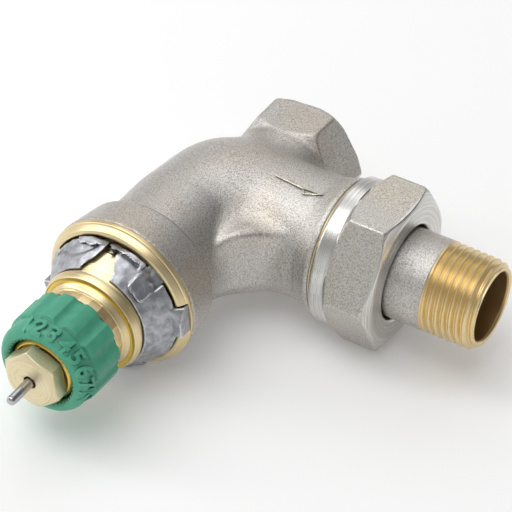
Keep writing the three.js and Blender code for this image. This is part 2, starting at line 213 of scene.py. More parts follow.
def dense(outline, step, closed=True):
    """The outline with long straight stretches cut into shorter ones."""
    result = []
    pairs = list(zip(outline, outline[1:] + outline[:1])) if closed else list(zip(outline, outline[1:]))
    for a, b in pairs:
        count = max(1, int(math.ceil(np.linalg.norm(np.array(b) - a) / step)))
        result += [np.array(a) + (np.array(b) - a) * i / count for i in range(count)]
    return result if closed else result + [np.array(outline[-1])]


def on_head(radius, station, angle):
    return np.stack([radius * np.cos(angle), station, radius * np.sin(angle)], -1)


def on_tail(radius, station, angle):
    return np.stack([station, radius * np.cos(angle), radius * np.sin(angle)], -1)


def on_inlet(radius, station, angle):
    return on_head(radius, station, angle) + np.array([INLET_X, 0, INLET_Z])


def turned(name, outline, place, materials, sides=160, fillet=0.15, step=None, shape=None, pick=None):
    """A turned piece. shape(radius, station, angle) may change the radius round the axis, and
    pick(radius, station) gives each face's material slot."""
    closed = not (outline[0][0] == 0 and outline[-1][0] == 0)
    outline = rounded(outline, fillet, closed)
    if step:
        outline = dense(outline, step, closed)
    radius, station = np.array(outline).T
    angle = np.arange(sides) * TURN / sides
    radius = np.repeat(radius[:, None], sides, 1)
    station = np.repeat(station[:, None], sides, 1)
    angle = np.repeat(angle[None, :], len(outline), 0)
    slots = None
    rows = len(outline) if closed else len(outline) - 1
    first = np.arange(rows)[:, None] * sides
    then = (np.arange(rows)[:, None] + 1) % len(outline) * sides
    here, there = np.arange(sides)[None, :], (np.arange(sides)[None, :] + 1) % sides
    faces = np.stack([first + here, first + there, then + there, then + here], -1).reshape(-1, 4)
    if pick:
        after = (np.arange(rows) + 1) % len(outline)
        mid_r, mid_s = ((v[:rows, 0] + v[after, 0]) / 2 for v in (radius, station))
        slots = np.repeat(pick(mid_r, mid_s), sides)
    if shape:
        radius = shape(radius, station, angle)
    return new_piece(name, place(radius, station, angle).reshape(-1, 3), faces.tolist(), materials, slots)


def soft_min(a, b, k):
    h = np.clip(0.5 + 0.5 * (b - a) / k, 0, 1)
    return b + (a - b) * h - k * h * (1 - h)


def soft_max(a, b, k):
    return -soft_min(-a, -b, k)


def smooth_step(low, high, value):
    t = np.clip((value - low) / (high - low), 0, 1)
    return t * t * (3 - 2 * t)


def hex_reach(angle, flats, phase, sides=6):
    """Distance from the axis to a regular prism's side; phase is the angle of a corner."""
    part = TURN / sides
    off = (angle - math.radians(phase)) % part - part / 2
    return flats / 2 / np.cos(off)


# ---- solids from distance fields ----------------------------------------------------------
def outline_field(u, v, outline):
    """Signed distance to a closed outline in a plane, negative inside."""
    points = np.array(outline, float)
    nearest = np.full(u.shape, 1e9)
    inside = np.zeros(u.shape, bool)
    for (au, av), (bu, bv) in zip(points, np.roll(points, -1, 0)):
        eu, ev = bu - au, bv - av
        t = np.clip(((u - au) * eu + (v - av) * ev) / (eu * eu + ev * ev), 0, 1)
        nearest = np.minimum(nearest, (u - au - t * eu) ** 2 + (v - av - t * ev) ** 2)
        if av != bv:
            inside ^= ((av > v) != (bv > v)) & (u < eu * (v - av) / ev + au)
    return np.where(inside, -1, 1) * np.sqrt(nearest)


def turned_field(across, along, outline):
    """Distance to a solid of revolution; outline is open, from the axis out and back to it."""
    (_, low), (_, high) = outline[0], outline[-1]
    return outline_field(across, along, [(-50, low), *outline, (-50, high)])


def hex_field(u, v, flats, phase, k=0.5):
    """Distance to a six-sided prism with slightly rounded corners; phase is a corner's angle."""
    field = None
    for side in range(3):
        turn = math.radians(phase + 30 + 60 * side)
        slab = np.abs(u * math.cos(turn) + v * math.sin(turn)) - flats / 2
        field = slab if field is None else soft_max(field, slab, k)
    return field


def field_mesh(field, low, high, step):
    """Points and quads on the zero level of a distance field, one point per crossed cell."""
    axes = [np.arange(a, b + step, step) for a, b in zip(low, high)]
    grid = np.stack(np.meshgrid(*axes, indexing="ij"), -1)
    values = field(grid.reshape(-1, 3)).reshape(grid.shape[:3])
    cells = np.array(values.shape) - 1
    sums, edges = [], []
    for axis in range(3):
        first = [slice(None)] * 3
        second = [slice(None)] * 3
        first[axis], second[axis] = slice(None, -1), slice(1, None)
        a, b = values[tuple(first)], values[tuple(second)]
        index = np.argwhere((a < 0) != (b < 0))
        near, far = a[tuple(index.T)], b[tuple(index.T)]
        point = index.astype(float)
        point[:, axis] += near / (near - far)
        one, two = [(axis + 1) % 3, (axis + 2) % 3]
        ring = []
        for du, dv in ((0, 0), (1, 0), (1, 1), (0, 1)):
            cell = index.copy()
            cell[:, one] -= du
            cell[:, two] -= dv
            ring.append(cell)
            fine = ((cell >= 0) & (cell < cells)).all(1)
            sums.append((np.ravel_multi_index(cell[fine].T, cells), point[fine]))
        ring = np.stack(ring, 1)
        fine = ((ring >= 0) & (ring < cells)).all((1, 2))
        order = np.where((near[fine] < 0)[:, None], [[0, 1, 2, 3]], [[3, 2, 1, 0]])
        ids = np.ravel_multi_index(ring[fine].reshape(-1, 3).T, cells).reshape(-1, 4)
        edges.append(np.take_along_axis(ids, order, 1))
    cell_ids = np.concatenate([ids for ids, _ in sums])
    crossing = np.concatenate([points for _, points in sums])
    used, place = np.unique(cell_ids, return_inverse=True)
    count = np.bincount(place)
    centre = np.stack([np.bincount(place, crossing[:, i]) / count for i in range(3)], -1)
    points = np.array(low) + centre * step
    faces = np.searchsorted(used, np.concatenate(edges))
    for _ in range(3):
        here = field(points)
        slope = np.stack([
            field(points + np.eye(3)[i] * 0.02) - field(points - np.eye(3)[i] * 0.02) for i in range(3)
        ], -1) / 0.04
        size = np.maximum((slope ** 2).sum(1), 0.2)
        move = (here / size)[:, None] * slope
        length = np.linalg.norm(move, axis=1)[:, None]
        points = points - move * np.minimum(1, 0.4 * step / np.maximum(length, 1e-9))
    return points, faces


# ---- materials ----------------------------------------------------------------------------
class Look:
    """A node material built call by call; add() makes a node and links or sets its inputs."""

    def __init__(self, name):
        self.material = bpy.data.materials.new(name)
        self.material.use_nodes = True
        self.tree = self.material.node_tree
        self.shader = self.tree.nodes["Principled BSDF"]

    def add(self, kind, settings=None, **inputs):
        node = self.tree.nodes.new("ShaderNode" + kind)
        for key, value in (settings or {}).items():
            setattr(node, key, value)
        for key, value in inputs.items():
            socket = node.inputs[int(key[1:])] if key[0] == "_" else node.inputs[key]
            self.put(socket, value)
        return node.outputs[0]

    def put(self, socket, value):
        if isinstance(value, bpy.types.NodeSocket):
            self.tree.links.new(value, socket)
        else:
            socket.default_value = value

    def shade(self, **inputs):
        for key, value in inputs.items():
            self.put(self.shader.inputs[key.replace("_", " ")], value)

    def math(self, operation, a, b=0.0, c=0.0):
        return self.add("Math", {"operation": operation}, _0=a, _1=b, _2=c)

    def place(self):
        """Position on the piece, in millimetres."""
        at = self.tree.nodes.new("ShaderNodeTexCoord").outputs["Object"]
        return self.add("VectorMath", {"operation": "SCALE"}, _0=at, Scale=1 / MM)

    def noise(self, at, scale, detail=2.0, rough=0.5):
        return self.add("TexNoise", None, Vector=at, Scale=scale, Detail=detail, Roughness=rough)

    def ramp(self, value, low, high, to_low=0.0, to_high=1.0):
        return self.add("MapRange", {"clamp": True}, Value=value, **{
            "From Min": low, "From Max": high, "To Min": to_low, "To Max": to_high})

    def mix(self, factor, a, b):
        node = self.tree.nodes.new("ShaderNodeMix")
        node.data_type = "RGBA"
        for socket, value in zip((node.inputs[0], node.inputs[6], node.inputs[7]), (factor, a, b)):
            self.put(socket, value)
        return node.outputs[2]

    def bump(self, height, distance, strength=1.0):
        return self.add("Bump", None, Height=height, Distance=distance * MM, Strength=strength)

    def painted_hollow_shade(self, colour, distance=0.7, depth=0.75):
        """The colour darkened where neighbouring surfaces crowd in: painted shade in hollows and crevices.
        """
        open_sky = self.add("AmbientOcclusion", {"samples": 6}, Distance=distance * MM)
        # painted shade: the colour goes towards near-black where ambient occlusion finds close surfaces
        dark = self.ramp(open_sky, 0.35, 0.95, depth, 0.0)
        return self.mix(dark, colour, (0.01, 0.012, 0.01, 1))

    def edge_light(self):
        """0 in hollows, 1 on outer edges."""
        geometry = self.tree.nodes.new("ShaderNodeNewGeometry")
        return geometry.outputs["Pointiness"]

    def round_axis(self, axis):
        """Coordinates round an axis: radius, station and angle."""
        at = self.place()
        middle_mm = {
            "head": (ORIGIN[0], 0, ORIGIN[2]), "tail": (0, ORIGIN[1], ORIGIN[2]),
            "inlet": (ORIGIN[0] + INLET_X, 0, ORIGIN[2] + INLET_Z),
        }[axis]
        off = self.add("VectorMath", {"operation": "SUBTRACT"}, _0=at, _1=middle_mm)
        split = self.tree.nodes.new("ShaderNodeSeparateXYZ")
        self.tree.links.new(off, split.inputs[0])
        x, y, z = split.outputs
        across, along = (y, x) if axis == "tail" else (x, y)
        radius = self.math("SQRT", self.math("ADD", self.math("MULTIPLY", across, across),
                                             self.math("MULTIPLY", z, z)))
        angle = self.math("ARCTAN2", z, across)
        return radius, along, angle

    def turning_marks(self, axis, fine=9.0, spread=1.2):
        """Noise drawn out round an axis, as a lathe tool leaves it."""
        radius, along, angle = self.round_axis(axis)
        at = self.add("CombineXYZ", None, X=self.math("MULTIPLY", radius, fine),
                      Y=self.math("MULTIPLY", along, fine), Z=self.math("MULTIPLY", angle, spread))
        return self.noise(at, 1.0, 3.0, 0.6)


def nickel(name, grain=4.4, depth=0.11, rough=0.32, tone=(0.67, 0.645, 0.615, 1)):
    """Shot-blasted brass with a satin nickel plate."""
    look = Look(name)
    at = look.place()
    fine = look.noise(at, grain, 2.0, 0.65)
    coarse = look.noise(at, grain * 0.3, 2.0)
    cloud = look.noise(at, 0.09, 3.0)
    warm = look.mix(look.ramp(cloud, 0.4, 0.66), tone, (tone[0] * 1.02, tone[1] * 0.96, tone[2] * 0.88, 1))
    speck_and_shade = look.mix(look.ramp(fine, 0.36, 0.55, 0.75, 0.0), warm, (0.23, 0.225, 0.22, 1))
    # painted shade: the speckled plate colour is darkened in hollows and crevices
    speck_and_shade = look.painted_hollow_shade(speck_and_shade, 0.8, 0.6)
    height = look.math("ADD", fine, look.math("MULTIPLY", coarse, 0.5))
    look.shade(
        Base_Color=speck_and_shade, Metallic=0.9, Roughness=look.ramp(fine, 0.3, 0.7, rough + 0.08, rough - 0.04),
        Normal=look.bump(height, depth, 1.0),
    )
    return look.material


def brushed_nickel(name, axis, rough=0.24, tone=(0.78, 0.77, 0.74, 1)):
    """Turned and nickel plated metal."""
    look = Look(name)
    marks = look.turning_marks(axis, 7.0, 0.8)
    fine = look.noise(look.place(), 2.2, 2.0)
    colour = look.mix(look.ramp(marks, 0.35, 0.65), (0.5, 0.49, 0.47, 1), tone)
    height = look.math("ADD", marks, look.math("MULTIPLY", fine, 0.4))
    look.shade(Base_Color=colour, Metallic=1.0, Roughness=look.ramp(marks, 0.3, 0.7, rough + 0.1, rough),
               Normal=look.bump(height, 0.02))
    return look.material


def brass(name, axis, rough=0.25, tone=(0.8, 0.655, 0.37, 1), fine=8.0, depth=0.02):
    """Bare machined brass with rings left by the tool."""
    look = Look(name)
    marks = look.turning_marks(axis, fine, 0.9)
    cloud = look.noise(look.place(), 0.25, 3.0)
    dull = (tone[0] * 0.78, tone[1] * 0.7, tone[2] * 0.6, 1)
    base = look.mix(look.ramp(cloud, 0.35, 0.7, 0.0, 0.5), tone, (tone[0], tone[1] * 1.03, tone[2] * 1.2, 1))
    colour = look.mix(look.ramp(marks, 0.3, 0.5, 0.6, 0.0), base, dull)
    look.shade(Base_Color=colour, Metallic=0.88, Roughness=look.ramp(marks, 0.3, 0.7, rough + 0.12, rough),
               Normal=look.bump(marks, depth))
    return look.material


def zinc(name):
    """Grey die-cast zinc, smeared and brighter where its edges are rubbed."""
    look = Look(name)
    at = look.place()
    blotch = look.noise(at, 0.7, 4.0, 0.6)
    grain = look.noise(at, 5.0, 2.0)
    base = look.mix(look.ramp(blotch, 0.35, 0.65), (0.3, 0.305, 0.335, 1), (0.52, 0.525, 0.55, 1))
    rubbed = look.ramp(look.edge_light(), 0.51, 0.57)
    # painted shade darkens the colour in hollows; the paler rubbed edges are wear
    colour = look.painted_hollow_shade(look.mix(rubbed, base, (0.85, 0.85, 0.87, 1)), 0.9, 0.85)
    height = look.math("ADD", look.math("MULTIPLY", blotch, 2.0), grain)
    look.shade(Base_Color=colour, Metallic=1.0, Roughness=look.ramp(blotch, 0.3, 0.7, 0.42, 0.3),
               Normal=look.bump(height, 0.06))
    return look.material


def moulded(name, tone, rough=0.45):
    """Moulded plastic with a faint texture and slightly paler edges."""
    look = Look(name)
    at = look.place()
    cloud = look.noise(at, 0.5, 3.0)
    skin = look.noise(at, 6.0, 2.0)
    pale = tuple(min(1, c * 1.35 + 0.02) for c in tone[:3]) + (1,)
    base = look.mix(look.ramp(cloud, 0.35, 0.65, 0.0, 0.35), tone, pale)
    colour = look.mix(look.ramp(look.edge_light(), 0.5, 0.6, 0.0, 0.6), base, pale)
    # painted shade darkens the colour in hollows and crevices, round the raised figures too
    colour = look.painted_hollow_shade(colour, 0.6, 0.8)
    look.shade(Base_Color=colour, Roughness=look.ramp(skin, 0.3, 0.7, rough + 0.08, rough - 0.04),
               Normal=look.bump(skin, 0.015))
    return look.material


def steel(name, tone=(0.56, 0.56, 0.58, 1)):
    look = Look(name)
    marks = look.turning_marks("head", 10.0, 0.6)
    colour = look.mix(look.ramp(marks, 0.35, 0.6), (0.42, 0.42, 0.44, 1), tone)
    look.shade(Base_Color=colour, Metallic=1.0, Roughness=look.ramp(marks, 0.3, 0.7, 0.26, 0.14),
               Normal=look.bump(marks, 0.01))
    return look.material


NICKEL = nickel("granular_nickel")
NICKEL_EDGE = nickel("rubbed_nickel", depth=0.02, rough=0.26, tone=(0.85, 0.79, 0.66, 1))
NICKEL_HEX = nickel("granular_nickel_nut", grain=4.6, depth=0.07, tone=(0.68, 0.655, 0.6, 1))
NICKEL_BRUSHED = brushed_nickel("brushed_nickel", "tail")
BRASS_HEAD = brass("turned_brass_head", "head")
BRASS_PALE = brass("pale_brass_gland", "head", 0.36, (0.8, 0.7, 0.45, 1), 5.0, 0.03)
BRASS_TAIL = brass("turned_brass_tail", "tail", 0.24, (0.8, 0.63, 0.33, 1))
BRASS_INLET = brass("turned_brass_inlet", "inlet", 0.26)
BRASS_GOLD = brass("gold_brass_sleeve", "head", 0.3, (0.85, 0.6, 0.14, 1))
BRASS_DARK = brass("bore_brass", "tail", 0.32, (0.5, 0.33, 0.14, 1), 5.0)
ZINC = zinc("cast_zinc")
GREEN = moulded("green_plastic", (0.058, 0.335, 0.212, 1), 0.42)
STEEL = steel("bright_steel")
RUBBER = moulded("black_rubber", (0.012, 0.012, 0.013, 1), 0.65)
POLYMER = moulded("grey_polymer", (0.045, 0.05, 0.055, 1), 0.5)


# ---- casting ------------------------------------------------------------------------------
def bore_field(p):
    """The chambers inside the casting; the inlet and the tail both open into them."""
    x, y, z = p.T
    head = turned_field(np.hypot(x, z), y, [
        (COLLAR_BORE_R, COLLAR_EDGE - 3), (COLLAR_BORE_R, -30.6), (CHAMBER_R, -30.6), (CHAMBER_R, -21.5),
        (8.7, -21.5), (8.7, -7), (7, -5), (7, 4.9), (5, 4.9), (5, 5.9), (4, 5.9), (4, 8),
    ])
    inlet = turned_field(np.hypot(x - INLET_X, z - INLET_Z), y, [
        (5.4, 7.4), (5.4, 10.6), (INLET_BORE_R + 0.4, 11.4), (INLET_BORE_R + 0.4, INLET_FACE + 2),
    ])
    outlet = turned_field(np.hypot(y, z), x, [(PASSAGE_R, 2), (PASSAGE_R, SHOULDER + 3)])
    return np.minimum(np.minimum(head, inlet), outlet)


def pad_field(p):
    """The web in the inner corner: a flat outer face under a broad arch, with a bevel at its foot."""
    x, y, z = p.T
    out, along = (x - y) / math.sqrt(2), (x + y) / math.sqrt(2)
    turn = np.linspace(0, math.pi, 21)
    wide = np.sign(np.cos(turn)) * np.abs(np.cos(turn)) ** PAD_SQUARENESS * PAD_HALF
    top = list(zip(PAD_MIDDLE + wide, (PAD_TOP + PAD_SKEW * wide) * np.sin(turn) ** PAD_SQUARENESS))
    corners = [(PAD_MIDDLE - PAD_HALF, -PAD_TOP), (PAD_MIDDLE + PAD_HALF, -PAD_TOP)]
    arch = outline_field(along, z, corners + top)
    foot = (out - PAD_DISTANCE + PAD_BEVEL * (PAD_FOOT - z)) / math.hypot(1, PAD_BEVEL)
    face = soft_max(out - PAD_DISTANCE, foot, 0.3)
    return soft_max(arch, soft_max(face, PAD_ROOT - out, 0.5), 1.5)


def casting_field(p):
    x, y, z = p.T
    across_head, across_tail = np.hypot(x, z), np.hypot(y, z)
    bend = np.hypot(np.hypot(x - BEND_R, y + BEND_R) - BEND_R, z) - LEG_R
    legs = np.minimum(
        np.where(y > -BEND_R, 1e3, across_head - LEG_R), np.where(x < BEND_R, 1e3, across_tail - LEG_R))
    corner = (x < BEND_R) & (y > -BEND_R)
    pipe = np.where(corner, bend, legs)
    reach = np.array([BULB_REACH, BULB_REACH, LEG_R])
    unit = (p - np.array(BULB_CENTRE)) / reach
    size = np.linalg.norm(unit, axis=1)
    bulb = size * (size - 1) / np.maximum(np.linalg.norm(unit / reach, axis=1), 1e-6)
    solid = soft_min(pipe, bulb, 2.6)
    solid = soft_min(solid, pad_field(p), 2.0)

    u, v = x - INLET_X, z - INLET_Z
    across = np.hypot(u, v)
    neck = turned_field(across, y, [(INLET_NECK_R, -2), (INLET_NECK_R, INLET_FACE - 5)])
    solid = soft_min(solid, neck, 2.2)
    back, corner_r = INLET_FACE - INLET_HEX_LENGTH, INLET_FLATS / 2 / math.cos(math.pi / 6)
    chamfer = turned_field(across, y, [
        (corner_r - 2.4, back - 0.6), (corner_r - 0.35, back + 1.5), (corner_r, back + 2.6),
        (corner_r, INLET_FACE - 1.2), (corner_r - 1.4, INLET_FACE),
    ])
    hexagon = soft_max(hex_field(u, v, INLET_FLATS, INLET_PHASE, 0.4), chamfer, 0.25)
    solid = soft_min(solid, hexagon, 0.5)

    shoulder = turned_field(across_tail, x, [
        (LEG_R - 1, SHOULDER - 4.2), (LEG_R + 0.1, SHOULDER - 3.1), (SHOULDER_R, SHOULDER - 0.9),
        (SHOULDER_R, SHOULDER),
    ])
    solid = soft_min(soft_max(solid, x - SHOULDER, 0.1), shoulder, 0.8)
    collar = turned_field(across_head, y, [
        (12.9, COLLAR_EDGE), (COLLAR_R, COLLAR_EDGE), (COLLAR_R, COLLAR_EDGE + 0.6),
        (13.75, COLLAR_BACK - 0.2), (13.2, COLLAR_BACK + 0.5), (LEG_R - 0.6, COLLAR_BACK + 1.0),
    ])
    solid = soft_min(soft_max(solid, COLLAR_EDGE - y, 0.1), collar, 0.35)
    for spot in CASTING_MARKS:
        solid = soft_min(solid, np.linalg.norm(p - np.array(spot), axis=1) - 0.32, 0.25)
    return soft_max(solid, -bore_field(p), 0.25)


def build_casting():
    low = np.array([body_low[0], COLLAR_EDGE, body_low[2]]) - 1
    high = np.array([SHOULDER, INLET_FACE, body_high[2]]) + 1
    points, faces = field_mesh(casting_field, low, high, CAST_STEP)
    points = np.clip(points, body_low + 0.01, body_high - 0.01)
    centres = points[faces].mean(1)
    inside = bore_field(centres) < 0.12
    ends = (np.abs(centres[:, 0] - SHOULDER) < 0.05) | (centres[:, 1] < COLLAR_EDGE + 0.05)
    return new_piece("body_casting", points, faces.tolist(), [NICKEL, BRASS_DARK], inside | ends,
                     weighted=False)


def build_arrow():
    """A thin raised arrow on top of the outlet leg, which shows the flow."""
    head = ((19.1, -2.4), (23.1, -2.1), (19.8, -3.4))
    curve = bpy.data.curves.new("arrow", "CURVE")
    curve.dimensions, curve.bevel_depth, curve.bevel_resolution = "3D", 0.22 * MM, 2
    shaft = ((13.3, -1.9), (16.3, -2.15), (19.1, -2.4))
    for stroke, cyclic in ((shaft, False), (head, True)):
        line = curve.splines.new("POLY")
        line.points.add(len(stroke) - 1)
        line.use_cyclic_u = cyclic
        for point, (x, y) in zip(line.points, stroke):
            on_leg = np.array([x, y, math.sqrt(LEG_R ** 2 - y * y) + 0.12])
            point.co = (*((on_leg + ORIGIN) * MM), 1)
    route = bpy.data.objects.new("arrow", curve)
    bpy.context.scene.collection.objects.link(route)
    mesh = bpy.data.meshes.new_from_object(route.evaluated_get(bpy.context.evaluated_depsgraph_get()))
    bpy.data.objects.remove(route)
    bpy.data.curves.remove(curve)
    mesh.name = "flow_arrow"
    mesh.materials.append(NICKEL_EDGE)
    mesh.polygons.foreach_set("use_smooth", np.ones(len(mesh.polygons), bool))
    arrow = bpy.data.objects.new("flow_arrow", mesh)
    bpy.context.scene.collection.objects.link(arrow)
    return arrow


def thread(radius, station, angle, start, stop, pitch, depth):
    """Cuts a helical thread into a turned surface between two stations."""
    phase = (station / pitch - angle / TURN) % 1
    groove = np.clip((0.5 - np.abs(phase - 0.5)) * 2.6 - 0.16, 0, 1)
    begun = smooth_step(start - 0.1, start + 0.5, station)
    fade = begun * (1 - smooth_step(stop - 0.3, stop + 0.1, station))
    return radius - depth * (1 - groove) * fade


def build_rim():
    """The machined front of the head collar, with a notch for each lug of the locking ring."""
    back, groove = COLLAR_EDGE + 0.02, COLLAR_FRONT + 1.3
    outline = [
        (COLLAR_BORE_R, back), (COLLAR_R - 0.08, back), (COLLAR_R - 0.02, groove + 0.5),
        (COLLAR_R - 0.12, groove + 0.15), (COLLAR_R - 0.38, groove), (COLLAR_R - 0.3, groove - 0.12),
        (COLLAR_R - 1.0, COLLAR_FRONT + 0.15), (COLLAR_R - 1.3, COLLAR_FRONT), (13.0, COLLAR_FRONT),
        (12.6, COLLAR_FRONT + 1.1),
    ]
    rim = turned("body_rim", outline, on_head, [BRASS_HEAD], 240, 0.12)
    for angle in LUG_ANGLES:
        cut = bpy.data.meshes.new("notch")
        work = bmesh.new()
        bmesh.ops.create_cube(work, size=1)
        size = Matrix.Diagonal((8 * MM, 3.6 * MM, 5.9 * MM, 1))
        place = Matrix.Translation(Vector((14.5, COLLAR_FRONT - 0.2, 0)) * MM)
        turn = Matrix.Rotation(-math.radians(angle), 4, "Y")
        work.transform(Matrix.Translation(Vector(ORIGIN) * MM) @ turn @ place @ size)
        work.to_mesh(cut)
        work.free()
        cutter = bpy.data.objects.new("notch", cut)
        bpy.context.scene.collection.objects.link(cutter)
        cutter.data.materials.append(BRASS_HEAD)
        subtract(rim, cutter)
    return rim


def subtract(piece, cutter):
    """Cuts one mesh out of another and removes the cutter."""
    while piece.modifiers:
        piece.modifiers.remove(piece.modifiers[0])
    step = piece.modifiers.new("cut", "BOOLEAN")
    step.operation, step.object, step.solver = "DIFFERENCE", cutter, "EXACT"
    mesh = bpy.data.meshes.new_from_object(piece.evaluated_get(bpy.context.evaluated_depsgraph_get()))
    piece.modifiers.clear()
    old, piece.data = piece.data, mesh
    bpy.data.meshes.remove(old)
    bpy.data.objects.remove(cutter)
    mesh.polygons.foreach_set("use_smooth", np.ones(len(mesh.polygons), bool))
    mesh.set_sharp_from_angle(angle=math.radians(40))
    piece.modifiers.new("normals", "WEIGHTED_NORMAL").keep_sharp = True


def build_spigot():
    """The machined end of the outlet: a bright ring and the union thread."""
    start = SHOULDER + 1.2
    outline = [
        (PASSAGE_R, SHOULDER - 1.0), (SHOULDER_R - 0.25, SHOULDER - 0.05),
        (SHOULDER_R - 0.12, SHOULDER + 0.02), (SHOULDER_R - 0.2, SHOULDER + 0.24),
        (UNION_R - 1.0, SHOULDER + 0.32), (UNION_R - 1.0, start),
        (UNION_R, start + 0.6), (UNION_R, SPIGOT_END - 0.9), (UNION_R - 1.2, SPIGOT_END),
        (9.2, SPIGOT_END), (PASSAGE_R, SPIGOT_END - 3.4),
    ]

    def cut(radius, station, angle):
        outer = radius > 9.9
        return np.where(outer, thread(radius, station, angle, start, SPIGOT_END, UNION_PITCH, 1.0), radius)

    return turned("body_spigot", outline, on_tail, [BRASS_TAIL], 128, 0.1, 0.2, cut)


def build_inlet_thread():
    """The female pipe thread in the inlet."""
    start, stop = 11.6, INLET_FACE - 0.02
    outline = [
        (INLET_BORE_R + 0.75, start), (INLET_BORE_R + 0.75, stop - 0.6), (INLET_BORE_R + 0.9, stop),
        (INLET_BORE_R + 0.7, stop), (INLET_BORE_R, stop - 0.9), (INLET_BORE_R, start),
    ]

    def cut(radius, station, angle):
        inner = radius < INLET_BORE_R + 0.3
        phase = (station / THREAD_PITCH - angle / TURN) % 1
        ridge = np.clip(np.abs(phase - 0.5) * 2.4 - 0.1, 0, 1) * 0.55
        return np.where(inner, radius + ridge, radius)

    return turned("inlet_thread", outline, on_inlet, [BRASS_INLET], 128, 0.08, 0.2, cut)


# ---- locking ring -------------------------------------------------------------------------
def polar(radius, angle):
    return radius * math.cos(math.radians(angle)), radius * math.sin(math.radians(angle))


def turned_frame(x, z, angle):
    """Distances out along a direction on the head's face, and across it."""
    turn = math.radians(angle)
    return x * math.cos(turn) + z * math.sin(turn), -x * math.sin(turn) + z * math.cos(turn)


def locking_field(p):
    """A conical clip with three lugs, a window over a corner of the hexagon, and a slit."""
    x, y, z = p.T
    across = np.hypot(x, z)
    front, back = extent("locking_ring")[0][1], COLLAR_FRONT + 0.2
    shell = (across - SHELL_FRONT_R - SHELL_SLOPE * (y - front)) / math.hypot(1, SHELL_SLOPE)
    ring = outline_field(across, y, [
        (9.6, front + 0.06), (SHELL_FRONT_R, front + 0.02), (12.95, front + 5.05), (13.05, front + 5.3),
        (12.5, front + 5.6), (12.45, back), (11.3, back), (11.3, front + 4.8), (11.1, front + 3.7),
    ]) - 0.02
    for angle in LUG_ANGLES:
        u, v = turned_frame(x, z, angle)
        face = (front + 4.25 + 0.1 * (u - 11.5)) - y
        ridge = (v - 2.5 + 1.45 * (u - 12.2) - 1.8 * (y - front - 4.3)) / 2.5
        box = np.maximum(np.abs(v) - 2.72, np.maximum(11.4 - u, u - 14.32))
        lug = soft_max(soft_max(soft_max(box, face, 0.15), ridge, 0.12), y - (COLLAR_FRONT + 1.85), 0.2)
        ring = soft_min(ring, lug, 0.2)
    u, v = turned_frame(x, z, BOSS_ANGLE)
    boss = soft_max(np.maximum(np.abs(v) - 1.85, 10.7 - u), shell - 0.42 + 0.3 * (u - 10.8), 0.15)
    ring = soft_min(ring, np.maximum(boss, -0.8 - shell), 0.2)
    chip = outline_field(u, v, [
        (11.9, -1.9), (12.3, -0.9), (12.15, 0.4), (12.5, 1.1), (12.2, 2.3), (13.4, 2.5), (13.4, -2.1)])
    ring = soft_max(ring, -np.maximum(chip, -0.45 - shell), 0.08)
    hollow = outline_field(x, z, [polar(12.45, 97), polar(12.6, 122), polar(11.8, 139), polar(11.3, 112)])
    ring = soft_max(ring, -np.maximum(hollow, -0.4 - shell), 0.2)
    step = outline_field(x, z, [polar(13.4, 122), polar(13.4, 150), polar(12.2, 150), polar(12.35, 122)])
    ring = soft_max(ring, -np.maximum(step, -0.35 - shell), 0.2)
    window = outline_field(x, z, [
        polar(9.0, 109), polar(10.1, 108.6), polar(12.15, 93.2), polar(12.2, 82), polar(10.2, 73.2),
        polar(9.0, 73)])
    ring = soft_max(ring, -window, 0.1)
    bevel = np.maximum((window + 1.2 * (shell + 0.75)) / 1.56, x + 0.6)
    ring = soft_max(ring, -bevel, 0.1)
    u, v = turned_frame(x, z, SLIT_ANGLE)
    ring = soft_max(ring, -np.maximum(np.abs(v) - 0.2, 12.0 - u), 0.1)
    rail = np.maximum(np.maximum(np.abs(v + 3.4) - 3.1, np.abs(across - 12.35) - 0.16), -0.35 - shell)
    ring = soft_max(ring, -rail, 0.1)
    ripple = 0.05 * np.sin(2.1 * x + 1.3 * z) * np.sin(1.7 * z - 0.9 * x)
    return ring + ripple


def build_locking_ring():
    low, high = extent("locking_ring")
    points, faces = field_mesh(locking_field, low - 0.8, high + 0.8, LOCK_STEP)
    points = np.clip(points, low + 0.01, high - 0.01)
    return new_piece("locking_ring_cast", points, faces.tolist(), [ZINC], weighted=False)


